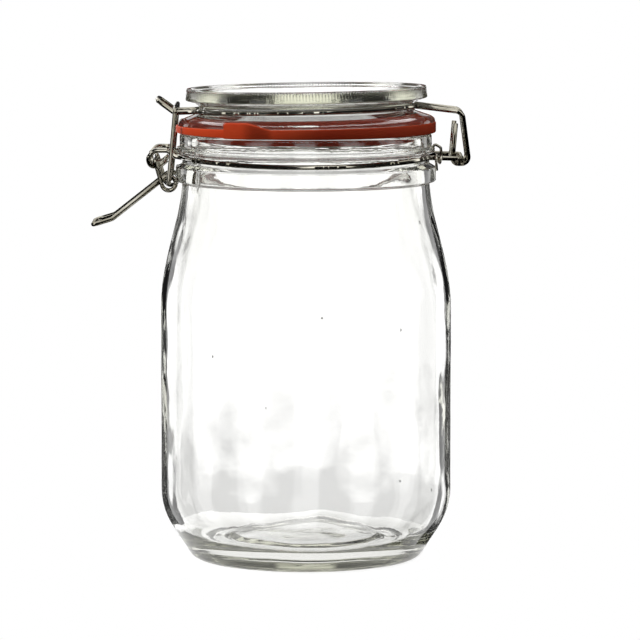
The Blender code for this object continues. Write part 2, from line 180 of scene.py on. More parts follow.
class Board:
    """Places shader nodes on a node tree and joins them."""

    def __init__(self, owner: bpy.types.Material | bpy.types.World) -> None:
        """Open the owner's node tree."""
        owner.use_nodes = True
        self.tree = owner.node_tree

    def join(self, node: bpy.types.Node, **inputs: object) -> None:
        """Link or set a node's inputs.

        Args:
            node: The node.
            inputs: A socket or a constant for each input, named with _ for each space.
        """
        for name, value in inputs.items():
            socket = node.inputs[name.replace("_", " ")]
            if isinstance(value, bpy.types.NodeSocket):
                self.tree.links.new(value, socket)
            else:
                socket.default_value = value

    def add(self, kind: str, **inputs: object) -> bpy.types.Node:
        """Place a node and join its inputs.

        Args:
            kind: The node's type, without its first word.
            inputs: A socket or a constant for each input, named with _ for each space.

        Returns:
            The node.
        """
        node = self.tree.nodes.new("ShaderNode" + kind)
        self.join(node, **inputs)
        return node

    def math(self, operation: str, *values: object) -> bpy.types.NodeSocket:
        """Work out a number from one, two or three others.

        Args:
            operation: What is done with them.
            values: A socket or a constant for each of them.

        Returns:
            The socket that gives the result.
        """
        node = self.tree.nodes.new("ShaderNodeMath")
        node.operation = operation
        for socket, value in zip(node.inputs, values):
            if isinstance(value, bpy.types.NodeSocket):
                self.tree.links.new(value, socket)
            else:
                socket.default_value = value
        return node.outputs["Value"]

    def between(self, share: object, first: object, second: object) -> bpy.types.NodeSocket:
        """Mix two numbers."""
        return self.math("MULTIPLY_ADD", share, self.math("SUBTRACT", second, first), first)

    def noise(self, place: bpy.types.NodeSocket, scale: float, detail: float) -> bpy.types.NodeSocket:
        """A cloudy number from 0 to 1."""
        return self.add("TexNoise", Vector=place, Scale=scale, Detail=detail).outputs["Fac"]

    def spread(self, value: bpy.types.NodeSocket, source: tuple[float, float],
               target: tuple[float, float]) -> bpy.types.NodeSocket:
        """Stretch a range of numbers over another one, with both ends held.

        Args:
            value: The number to move.
            source: The range that it comes from.
            target: The range that it goes to.

        Returns:
            The socket that gives the result.
        """
        node = self.add("MapRange", Value=value, From_Min=source[0], From_Max=source[1],
                        To_Min=target[0], To_Max=target[1])
        return node.outputs["Result"]

    def blend(self, share: bpy.types.NodeSocket, first: object, second: object) -> bpy.types.NodeSocket:
        """Mix two colours.

        Args:
            share: How much of the second colour is in the mix, from 0 to 1.
            first: The first colour.
            second: The second colour.

        Returns:
            The socket that gives the mix.
        """
        node = self.tree.nodes.new("ShaderNodeMix")
        node.data_type = "RGBA"
        self.join(node, Factor=share, A=first, B=second)
        return node.outputs["Result"]

    def bump(self, height: bpy.types.NodeSocket, strength: float, depth: float) -> bpy.types.NodeSocket:
        """Turn heights into a bumpy normal, with the depth in millimetres."""
        node = self.add("Bump", Height=height, Strength=strength, Distance=depth * MM)
        return node.outputs["Normal"]


@dataclass(frozen=True)
class GlassFinish:
    """Clear pressed glass with a faint green tint that deepens with thickness."""

    name: str = "clear_glass"
    ior: float = 1.52
    tint: tuple[float, float, float] = (0.42, 0.43, 0.17)
    tint_density: float = 11.0
    swell_scale: float = 55.0
    swell_detail: float = 1.0
    swell_depth: float = 0.5
    ripple_scale: float = 260.0
    ripple_detail: float = 2.0
    ripple_depth: float = 0.05
    neck_low: float = 0.1445
    neck_high: float = 0.1475
    neck_top: float = 0.153
    neck_ripple: float = 0.17
    bump_strength: float = 0.3
    bump_depth: float = 1.0

    def material(self) -> bpy.types.Material:
        """Build the glass: a clear shader, two sizes of ripple and a tinted volume.

        Returns:
            The material, which ripples more between the collar and the bead.
        """
        made = bpy.data.materials.new(self.name)
        board = Board(made)
        place = board.add("TexCoord").outputs["Object"]
        swell = board.noise(place, self.swell_scale, self.swell_detail)
        height_up = board.add("SeparateXYZ", Vector=place).outputs["Z"]
        neck = board.math("MULTIPLY", board.spread(height_up, (self.neck_low, self.neck_high), (0, 1)),
                          board.math("LESS_THAN", height_up, self.neck_top))
        depth = board.between(neck, self.ripple_depth, self.neck_ripple)
        ripple = board.math("MULTIPLY", board.noise(place, self.ripple_scale, self.ripple_detail), depth)
        height = board.math("ADD", board.math("MULTIPLY", swell, self.swell_depth), ripple)
        board.join(board.tree.nodes["Principled BSDF"], Base_Color=(1, 1, 1, 1), Roughness=0.0,
                   IOR=self.ior, Transmission_Weight=1.0,
                   Normal=board.bump(height, self.bump_strength, self.bump_depth))
        tint = board.add("VolumeAbsorption", Color=(*self.tint, 1), Density=self.tint_density)
        board.join(board.tree.nodes["Material Output"], Volume=tint.outputs["Volume"])
        return made


@dataclass(frozen=True)
class WireFinish:
    """Drawn stainless wire: bright, with darker patches and fine scratches."""

    name: str = "wire_steel"
    bright: tuple[float, float, float] = (0.42, 0.4, 0.34)
    dull: tuple[float, float, float] = (0.2, 0.185, 0.14)
    smooth: float = 0.06
    rough: float = 0.18
    patch_scale: float = 70.0
    patch_detail: float = 4.0
    patch_edges: tuple[float, float] = (0.38, 0.6)
    shine_edges: tuple[float, float] = (0.3, 0.7)
    scratch_scale: float = 2600.0
    scratch_detail: float = 3.0
    scratch_depth: float = 0.003
    bump_strength: float = 0.3

    def material(self) -> bpy.types.Material:
        """Build the metal.

        Returns:
            The material, whose colour and roughness vary from patch to patch.
        """
        made = bpy.data.materials.new(self.name)
        board = Board(made)
        place = board.add("TexCoord").outputs["Object"]
        patches = board.noise(place, self.patch_scale, self.patch_detail)
        scratches = board.noise(place, self.scratch_scale, self.scratch_detail)
        colour = board.blend(board.spread(patches, self.patch_edges, (0, 1)),
                             (*self.dull, 1), (*self.bright, 1))
        board.join(board.tree.nodes["Principled BSDF"], Base_Color=colour, Metallic=1.0,
                   Roughness=board.spread(patches, self.shine_edges, (self.rough, self.smooth)),
                   Normal=board.bump(scratches, self.bump_strength, self.scratch_depth))
        return made


@dataclass(frozen=True)
class RubberFinish:
    """Matt orange-red rubber with a fine grain and a dusty bloom."""

    name: str = "red_rubber"
    red: tuple[float, float, float] = (0.44, 0.032, 0.008)
    bloom: tuple[float, float, float] = (0.52, 0.065, 0.018)
    roughness: float = 0.6
    shine: float = 0.2
    bloom_scale: float = 120.0
    bloom_detail: float = 5.0
    grain_scale: float = 1400.0
    grain_detail: float = 3.0
    grain_depth: float = 0.08
    bump_strength: float = 0.5

    def material(self) -> bpy.types.Material:
        """Build the rubber.

        Returns:
            The material: two reds mixed by a cloudy noise, and a fine bump.
        """
        made = bpy.data.materials.new(self.name)
        board = Board(made)
        place = board.add("TexCoord").outputs["Object"]
        cloud = board.noise(place, self.bloom_scale, self.bloom_detail)
        grain = board.noise(place, self.grain_scale, self.grain_detail)
        board.join(board.tree.nodes["Principled BSDF"], Roughness=self.roughness,
                   Specular_IOR_Level=self.shine,
                   Base_Color=board.blend(cloud, (*self.red, 1), (*self.bloom, 1)),
                   Normal=board.bump(grain, self.bump_strength, self.grain_depth))
        return made


class Workshop:
    """Makes finished pieces out of bmeshes: shading, material, place, body and slot."""

    def __init__(self) -> None:
        """Build one material for each finish."""
        self.axis_x = jar_axis_x()
        self.materials = {
            Slot.GLASS: GlassFinish().material(),
            Slot.WIRE: WireFinish().material(),
            Slot.RUBBER: RubberFinish().material(),
        }

    def finish(self, name: str, bm: bmesh.types.BMesh, slot: Slot, body: Body,
               *nodes: str) -> bpy.types.Object:
        """Turn a bmesh in millimetres round the jar's axis into a finished piece.

        Args:
            name: The piece's name.
            bm: The closed shape, which is freed.
            slot: The material slot that the piece takes its finish from.
            body: The body that the piece rides on.
            nodes: The solids that the piece stands for.

        Returns:
            The new object.
        """
        to_frame = Matrix.Translation((self.axis_x, 0, 0)) @ Matrix.Scale(MM, 4)
        bmesh.ops.transform(bm, matrix=to_frame, verts=bm.verts)
        mesh = bpy.data.meshes.new(name)
        bm.to_mesh(mesh)
        bm.free()
        mesh.shade_smooth()
        mesh.materials.append(self.materials[slot])
        piece = bpy.data.objects.new(name, mesh)
        bpy.context.collection.objects.link(piece)
        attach(piece, body.value)
        if nodes:
            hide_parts(*nodes)
        LOG.info("%s: %d faces, on %s", name, len(mesh.polygons), body.value)
        return piece


@dataclass(frozen=True)
class Ripple:
    """One size of wave in a glass wall: how wide and tall it is, and where in the noise it starts."""

    width: float
    height: float
    start: float = 0.0

    def at(self, place: Vector) -> float:
        """The wave's height at a place, from -1 to 1."""
        return noise.noise(Vector((place.x / self.width, place.y / self.width,
                                   place.z / self.height + self.start)))


@dataclass
class TurnedGlass:
    """What the jar and the lid share: an outline that is turned round their axis."""

    turns: int = 240
    longest_step: float = 2.5

    def turned(self, points: list[tuple[float, float]], wavy: list[float]) -> bmesh.types.BMesh:
        """Spin an outline that starts and ends on the axis.

        Args:
            points: Radius and height of each point.
            wavy: How strongly each point takes the wall's waves, from 0 to 1.

        Returns:
            The closed shape, with the waves' strength kept on the layer "wavy".
        """
        bm = bmesh.new()
        layer = bm.verts.layers.float.new("wavy")
        verts = []
        for (radius, z), strength in zip(points, wavy):
            vert = bm.verts.new((radius, 0, z))
            vert[layer] = strength
            verts.append(vert)
        edges = [bm.edges.new(pair) for pair in zip(verts, verts[1:])]
        spun_round(bm, verts + edges, self.turns)
        return bm


@dataclass
class JarBody(TurnedGlass):
    """The glass jar: foot ring, heel, body, long shoulder, collar, bead and lip.

    Each of its seeds, the small bubbles, is given by X, height, radius and stretch.
    """

    radius: float = 53.3
    wall: float = 2.5
    foot_inner: float = 36.9
    foot_outer: float = 38.9
    foot_rounding: float = 5.0
    heel_slope: float = 33.0
    heel_rounding: float = 25.7
    body_top: float = 93.0
    shoulder_end: float = 142.0
    neck_radius: float = 45.2
    mouth_radius: float = 40.6
    collar_radius: float = 47.6
    collar_bottom: float = 138.2
    collar_top: float = 145.4
    bead_radius: float = 47.2
    bead_bottom: float = 149.1
    bead_top: float = 151.4
    finish_radius: float = 46.1
    lip: float = 156.5
    step_rounding: float = 0.4
    collar_slopes: tuple[float, float] = (0.5, 1.2)
    bead_slopes: tuple[float, float] = (0.2, 0.3)
    push_up: tuple[Corner, ...] = (
        (0, 4.2, 0), (16.8, 3.9, 30), (27.2, 3.1, 1.6), (29.0, 1.3, 1.6), (35.3, 0.9, 1.2),
    )
    valley_radius: float = 33.5
    valley: float = 5.4
    inner_floor: tuple[Corner, ...] = ((30.2, 5.6, 1.6), (26.8, 7.7, 2.2), (14.0, 8.1, 20), (0, 8.4, 0))
    inner_heel: float = 27.0
    steps: int = 24
    broad: Ripple = Ripple(22.0, 30.0)
    streak: Ripple = Ripple(9.0, 30.0, 7.0)
    fine: Ripple = Ripple(5.0, 7.0, 31.0)
    wave_depth: float = 0.55
    streak_share: float = 0.45
    fine_share: float = 0.12
    mottle: float = 1.6
    mottle_bottom: float = 145.5
    mottle_rise: float = 4.0
    heel_share: float = 0.6
    outer_wave: float = 0.18
    outer_calm: float = 0.06
    outer_wave_from: float = 30.0
    outer_wave_to: float = 136.2
    inner_wave: float = 1.0
    inner_calm: float = 0.5
    inner_wave_to: float = 123.0
    calm_floor: float = 20.0
    seeds: tuple[tuple[float, float, float, float], ...] = (
        (-32.9, 78.4, 0.35, 1.3), (5.8, 93.4, 0.45, 0.8), (33.7, 87.9, 0.4, 1.6),
        (33.5, 33.3, 0.4, 1.0), (44.9, 28.2, 0.4, 1.2), (-43.1, 123.8, 0.4, 1.3),
        (40.5, 124.9, 0.4, 1.5), (-14.0, 61.0, 0.25, 1.5),
    )

    def shoulder_wave(self, low: float, high: float, z: float) -> float:
        """A radius on a long S that is low at the body's top and high at the shoulder's end."""
        t = (z - self.body_top) / (self.shoulder_end - self.body_top)
        return low + (high - low) * (1 - math.cos(math.pi * t)) / 2

    def underside(self) -> list[tuple[float, float]]:
        """The push-up, the foot ring, the slanting heel and the start of the wall.

        Returns:
            Radius and height of each point, from the axis outwards and up.
        """
        slope = math.radians(self.heel_slope)
        quarter = math.radians(90)
        foot_corner = self.foot_outer + self.foot_rounding * math.tan((quarter - slope) / 2)
        heel_corner = (self.radius - foot_corner) / math.tan(slope)
        return outline([
            *self.push_up,
            (self.foot_inner, 0, 0.8),
            (foot_corner, 0, self.foot_rounding),
            (self.radius, heel_corner, self.heel_rounding),
            (self.radius, self.body_top, 0),
        ], arc_step=6)

    def shoulder(self) -> list[tuple[float, float]]:
        """The outer wall's long S up to the collar.

        Returns:
            Radius and height of each point, upwards.
        """
        rise = self.collar_bottom - self.body_top
        heights = [self.body_top + rise * i / self.steps for i in range(1, self.steps)]
        return [(self.shoulder_wave(self.radius, self.neck_radius, z), z) for z in heights]

    def finish_outline(self) -> list[tuple[float, float]]:
        """The collar, the neck wire's groove, the bead and the lip.

        Returns:
            Radius and height of each point, upwards and over the lip into the mouth.
        """
        step_radius = self.shoulder_wave(self.radius, self.neck_radius, self.collar_bottom)
        collar_low, collar_high = self.collar_slopes
        bead_low, bead_high = self.bead_slopes
        return outline([
            (step_radius, self.collar_bottom - self.step_rounding, 0),
            (step_radius, self.collar_bottom, self.step_rounding),
            (self.collar_radius, self.collar_bottom + collar_low, 0.7),
            (self.collar_radius, self.collar_top - collar_high, 0.9),
            (self.neck_radius, self.collar_top, 0.8),
            (self.neck_radius, self.bead_bottom, 0.7),
            (self.bead_radius, self.bead_bottom + bead_low, 0.7),
            (self.bead_radius, self.bead_top - bead_high, 0.8),
            (self.finish_radius, self.bead_top, 0.6),
            (self.finish_radius, self.lip, 1.5),
            (self.mouth_radius, self.lip, 1.3),
            (self.mouth_radius, self.shoulder_end, 0),
        ], arc_step=15)

    def inside(self) -> list[tuple[float, float]]:
        """The inner wall from under the mouth down to the floor's middle.

        Returns:
            Radius and height of each point, downwards and inwards.
        """
        inner = self.radius - self.wall
        rise = self.shoulder_end - self.body_top
        heights = [self.shoulder_end - rise * i / self.steps for i in range(1, self.steps + 1)]
        wall = [(self.shoulder_wave(inner, self.mouth_radius, z), z) for z in heights]
        heel_width, heel_height = inner - self.valley_radius, self.inner_heel - self.valley
        heel = []
        for i in range(self.steps + 1):
            angle = math.radians(90 * i / self.steps)
            heel.append((self.valley_radius + heel_width * math.cos(angle),
                         self.inner_heel - heel_height * math.sin(angle)))
        middle = outline([(self.valley_radius, self.valley, 0), *self.inner_floor], arc_step=8)
        return wall + heel + middle[1:]

    def waves(self, bm: bmesh.types.BMesh) -> None:
        """Move the walls in and out in slow waves, as hot glass leaves them.

        Args:
            bm: The turned jar, whose layer "wavy" says how strongly each point moves.
        """
        layer = bm.verts.layers.float["wavy"]
        for vert in bm.verts:
            if not vert[layer]:
                continue
            x, y, z = vert.co
            radius = math.hypot(x, y)
            if radius < AXIS:
                continue
            neck = 0.0
            if radius < self.neck_radius:
                neck = min(1.0, max(0.0, (z - self.mottle_bottom) / self.mottle_rise))
            wave = self.broad.at(vert.co) + self.streak_share * self.streak.at(vert.co)
            wave += (self.fine_share + self.mottle * neck) * self.fine.at(vert.co)
            shift = self.wave_depth * vert[layer] * wave
            vert.co.x += x / radius * shift
            vert.co.y += y / radius * shift
            if z < self.inner_heel:
                vert.co.z += self.heel_share * shift

    def add_seeds(self, bm: bmesh.types.BMesh) -> None:
        """Leave the small bubbles in the middle of the front wall that pressed glass has.

        Args:
            bm: The turned jar, which takes the bubbles' inward-facing skins.
        """
        bubbles = bmesh.new()
        for x, z, size, height in self.seeds:
            outer = self.shoulder_wave(self.radius, self.neck_radius, max(z, self.body_top))
            depth = outer - self.wall / 2
            made = bmesh.ops.create_uvsphere(bubbles, u_segments=16, v_segments=8, radius=size)
            bmesh.ops.scale(bubbles, verts=made["verts"], vec=(1, 1, height))
            bmesh.ops.translate(bubbles, verts=made["verts"], vec=(x, -math.sqrt(depth ** 2 - x ** 2), z))
        bmesh.ops.reverse_faces(bubbles, faces=bubbles.faces[:])
        skins = bpy.data.meshes.new("bubbles")
        bubbles.to_mesh(skins)
        bubbles.free()
        bm.from_mesh(skins)
        bpy.data.meshes.remove(skins)

    def build(self, shop: Workshop) -> bpy.types.Object:
        """Turn the jar, wave its walls and leave its bubbles.

        Args:
            shop: Finishes the piece.

        Returns:
            The jar.
        """
        outside = self.underside() + self.shoulder() + self.finish_outline()
        outer = divided(outside, self.longest_step)
        inner = divided(self.inside(), self.longest_step)
        outer_wave = [self.outer_wave if self.outer_wave_from < z < self.outer_wave_to else self.outer_calm
                      for _, z in outer]
        inner_wave = [self.inner_calm if z > self.inner_wave_to or r < self.calm_floor else self.inner_wave
                      for r, z in inner]
        bm = self.turned(outer + inner, outer_wave + inner_wave)
        self.waves(bm)
        self.add_seeds(bm)
        return shop.finish("jar_glass", bm, Slot.GLASS, Body.JAR, "glass_jar")


@dataclass
class JarLid(TurnedGlass):
    """The glass lid: milled rim, wire groove, flange, spigot and the hollow underneath."""

    turns: int = 960
    longest_step: float = 8.0
    sharp_angle: float = 30.0
    teeth: int = 240
    tooth_depth: float = 0.1
    tooth_drop: float = 0.7
    tooth_height: float = 0.8
    ridge_radius: float = 42.0
    ridge_foot: float = 3.0
    ridge_width: float = 1.8
    top: float = 172.8
    plate: float = 171.8
    dish: float = 0.2
    rim_radius: float = 44.3
    rim_top_radius: float = 43.7
    rim_flare: float = 0.15
    rim_waist: float = 171.9
    rim_band: float = 0.3
    rim_bottom: float = 168.6
    groove_radius: float = 39.4
    groove_flare: float = 2.0
    groove_roof: float = 167.8
    groove_top: float = 166.8
    groove_bottom: float = 164.1
    flange_radius: float = 47.0
    flange_top: float = 161.7
    flange_bottom: float = 159.55
    spigot_taper: float = 0.3
    spigot_bottom: float = 154.7
    recess_radius: float = 35.8
    recess_taper: float = 1.2
    recess_top: float = 167.2
    lean: float = 0.84
    tilt: float = 0.6
    shift: float = 0.35

    def corners(self) -> list[Corner]:
        """The lid's outline from the middle of its top over the rim to the recess.

        Returns:
            The corners, from the axis outwards, down and back to the axis.
        """
        return [
            (0, self.plate - self.dish, 0),
            (self.rim_top_radius - self.ridge_foot, self.plate, 2),
            (self.rim_top_radius - self.ridge_width, self.top, 0.6),
            (self.rim_top_radius, self.top, 0.25),
            (self.rim_top_radius + self.rim_flare, self.rim_waist, 0),
            (self.rim_radius, self.rim_bottom, 0.5),
            (self.groove_radius + self.groove_flare, self.groove_roof, 1),
            (self.groove_radius, self.groove_top, 0.8),
            (self.groove_radius, self.groove_bottom, 0.7),
            (self.flange_radius, self.flange_top, 2.6),
            (self.flange_radius, self.flange_bottom, 0.2),
            (self.groove_radius, self.flange_bottom, 0.3),
            (self.groove_radius - self.spigot_taper, self.spigot_bottom, 0.9),
            (self.recess_radius, self.spigot_bottom, 0.8),
            (self.recess_radius - self.recess_taper, self.recess_top, 3.5),
            (0, self.recess_top + self.dish, 0),
        ]

    def mill(self, bm: bmesh.types.BMesh) -> None:
        """Cut the row of fine teeth into the rim's upper edge.

        Args:
            bm: The turned lid, still level.
        """
        foot = self.top - self.tooth_height
        for vert in bm.verts:
            x, y, z = vert.co
            radius = math.hypot(x, y)
            if z < foot or radius < self.ridge_radius:
                continue
            phase = math.atan2(y, x) / (2 * math.pi) * self.teeth % 1
            notch = abs(2 * phase - 1)
            vert.co.z -= self.tooth_drop * notch * (z - foot) / self.tooth_height
            if radius > self.rim_top_radius - self.rim_band:
                vert.co.x -= x / radius * self.tooth_depth * notch
                vert.co.y -= y / radius * self.tooth_depth * notch

    def build(self, shop: Workshop) -> bpy.types.Object:
        """Turn the lid, mill its rim, and set it down as the photo shows it: leaning and off centre.

        Args:
            shop: Finishes the piece.

        Returns:
            The lid.
        """
        points = divided(outline(self.corners(), arc_step=18), self.longest_step)
        bm = self.turned(points, [0] * len(points))
        self.mill(bm)
        lean = Matrix.Rotation(math.radians(-self.lean), 3, "Y")
        tilt = Matrix.Rotation(math.radians(-self.tilt), 3, "X")
        bmesh.ops.rotate(bm, verts=bm.verts, cent=(0, 0, self.flange_bottom), matrix=tilt @ lean)
        bmesh.ops.translate(bm, verts=bm.verts, vec=(self.shift, 0, 0))
        piece = shop.finish("lid_glass", bm, Slot.GLASS, Body.LID, "glass_lid")
        piece.data.set_sharp_from_angle(angle=math.radians(self.sharp_angle))
        return piece


@dataclass
class SealingRing:
    """The rubber ring between lid and lip, with the thumb tab that breaks the seal."""

    radius: float = 47.5
    inner_radius: float = 39.55
    droop_radius: float = 40.15
    droop_bottom: float = 153.7
    bottom: float = 156.45
    top: float = 159.6
    lean: float = 0.84
    tilt: float = 0.6
    step_radius: float = 47.3
    tab_radius: float = 50.4
    tab_top: float = 162.1
    tab_tip: float = -126.0
    tab_block: float = -117.0
    tab_root: float = -104.0
    edge: float = 0.45
    edge_arc: float = 0.3
    droop_edge: float = 0.15
    droop_root: float = 0.3
    tab_ledge: float = 0.1
    tab_seat: float = 0.2
    skin: float = 0.01
    turns: int = 720
    sharp_angle: float = 40.0

    def lift(self, angle: float) -> float:
        """How far the tab stands out.

        Args:
            angle: The direction in degrees.

        Returns:
            A share from 0, where there is no tab, to 1.
        """
        if self.tab_tip <= angle <= self.tab_block:
            return 1.0
        if self.tab_block < angle < self.tab_root:
            slope = (self.tab_root - angle) / (self.tab_root - self.tab_block)
            return slope * slope * (3 - 2 * slope)
        return 0.0

    def section(self) -> list[tuple[float, float, float, float]]:
        """The ring's outline, from inside bottom to outside and back over the top.

        Returns:
            Radius, height, and how far each point follows the tab outwards and upwards.
        """
        soft, arc = self.edge, self.edge_arc * self.edge
        thin, root = self.droop_edge, self.droop_root
        return [
            (self.inner_radius + thin, self.droop_bottom, 0, 0),
            (self.droop_radius - thin, self.droop_bottom, 0, 0),
            (self.droop_radius, self.droop_bottom + thin, 0, 0),
            (self.droop_radius, self.bottom - root, 0, 0),
            (self.droop_radius + root, self.bottom, 0, 0),
            (self.radius - soft, self.bottom, 1, 0),
            (self.radius - arc, self.bottom + arc, 1, 0),
            (self.radius, self.bottom + soft, 1, 0),
            (self.radius, self.top - soft, 1, 1),
            (self.radius - arc / 2, self.top - arc, 1, 1),
            (self.radius - soft / 2, self.top - self.skin, 1, 1),
            (self.step_radius - self.tab_ledge, self.top - self.skin / 2, 0.1, 1),
            (self.step_radius - self.tab_seat, self.top, 0, 0),
            (self.inner_radius + soft, self.top, 0, 0),
            (self.inner_radius, self.top - soft, 0, 0),
            (self.inner_radius, self.droop_bottom + thin, 0, 0),
        ]

    def build(self, shop: Workshop) -> bpy.types.Object:
        """Spin the ring, lean its upper half with the lid, and pull its tab out and up.

        Args:
            shop: Finishes the piece.

        Returns:
            The sealing ring.
        """
        bm = bmesh.new()
        outwards = bm.verts.layers.float.new("outwards")
        upwards = bm.verts.layers.float.new("upwards")
        loop = []
        for radius, z, out, up in self.section():
            vert = bm.verts.new((radius, 0, z))
            vert[outwards], vert[upwards] = out, up
            loop.append(vert)
        edges = [bm.edges.new(pair) for pair in zip(loop, loop[1:] + loop[:1])]
        spun_round(bm, loop + edges, self.turns)
        for vert in bm.verts:
            radius = math.hypot(vert.co.x, vert.co.y)
            lift = self.lift(math.degrees(math.atan2(vert.co.y, vert.co.x)))
            reach = 1 + (self.tab_radius - self.radius) * lift * vert[outwards] / radius
            if vert.co.z > (self.bottom + self.top) / 2:
                vert.co.z += vert.co.x * math.tan(math.radians(self.lean))
                vert.co.z -= vert.co.y * math.tan(math.radians(self.tilt))
            vert.co.x *= reach
            vert.co.y *= reach
            vert.co.z += (self.tab_top - self.top) * lift * vert[upwards]
        bmesh.ops.recalc_face_normals(bm, faces=bm.faces)
        piece = shop.finish("sealing_ring", bm, Slot.RUBBER, Body.LID, "gasket")
        piece.data.set_sharp_from_angle(angle=math.radians(self.sharp_angle))
        return piece


@dataclass
class BentWire:
    """A round wire bent along corners, swept as a closed tube."""

    radius: float = 0.9
    sides: int = 16
    bend_step: float = 9.0

    def sweep(self, corners: list[Bend]) -> bmesh.types.BMesh:
        """Extrude a disc along the wire's line.

        Args:
            corners: The wire's corners and bend radii.

        Returns:
            The closed tube.
        """
        line = rounded(corners, self.bend_step)
        line = [line[0]] + [b for a, b in zip(line, line[1:]) if (b - a).length > WIRE_STEP]
        tangents = [(line[1] - line[0]).normalized()]
        for before, after in zip(line, line[2:]):
            tangents.append((after - before).normalized())
        tangents.append((line[-1] - line[-2]).normalized())
        bm = bmesh.new()
        turn = Vector((0, 0, 1)).rotation_difference(tangents[0])
        made = bmesh.ops.create_circle(bm, cap_ends=True, segments=self.sides, radius=self.radius)
        bmesh.ops.rotate(bm, verts=made["verts"], cent=(0, 0, 0), matrix=turn.to_matrix())
        bmesh.ops.translate(bm, verts=made["verts"], vec=line[0])
        cap = list(bm.faces)
        for i in range(1, len(line)):
            grown = bmesh.ops.extrude_face_region(bm, geom=cap, use_keep_orig=i == 1)
            cap = [item for item in grown["geom"] if isinstance(item, bmesh.types.BMFace)]
            verts = [item for item in grown["geom"] if isinstance(item, bmesh.types.BMVert)]
            step = tangents[i - 1].rotation_difference(tangents[i])
            bmesh.ops.rotate(bm, verts=verts, cent=line[i - 1], matrix=step.to_matrix())
            bmesh.ops.translate(bm, verts=verts, vec=line[i] - line[i - 1])
        bmesh.ops.remove_doubles(bm, verts=bm.verts, dist=WIRE_SEAM)
        bmesh.ops.recalc_face_normals(bm, faces=bm.faces)
        return bm


def mirrored(corners: list[Bend]) -> list[Bend]:
    """The same corners on the far side, in the opposite order."""
    return [(Vector((corner.x, -corner.y, corner.z)), bend) for corner, bend in reversed(corners)]


def at_front(place: tuple[float, float], y: float, bend: float = 0.0) -> Bend:
    """A wire's corner at an X and a height, so far in front of the middle plane."""
    return Vector((place[0], -y, place[1])), bend


@dataclass(frozen=True)
class Level:
    """A ring's height: a middle level, a slope along X and a sag with the square of Y."""

    middle: float
    slope: float
    sag: float

    def at(self, x: float, y: float) -> float:
        """The height at a place."""
        return self.middle + self.slope * x + self.sag * y * y


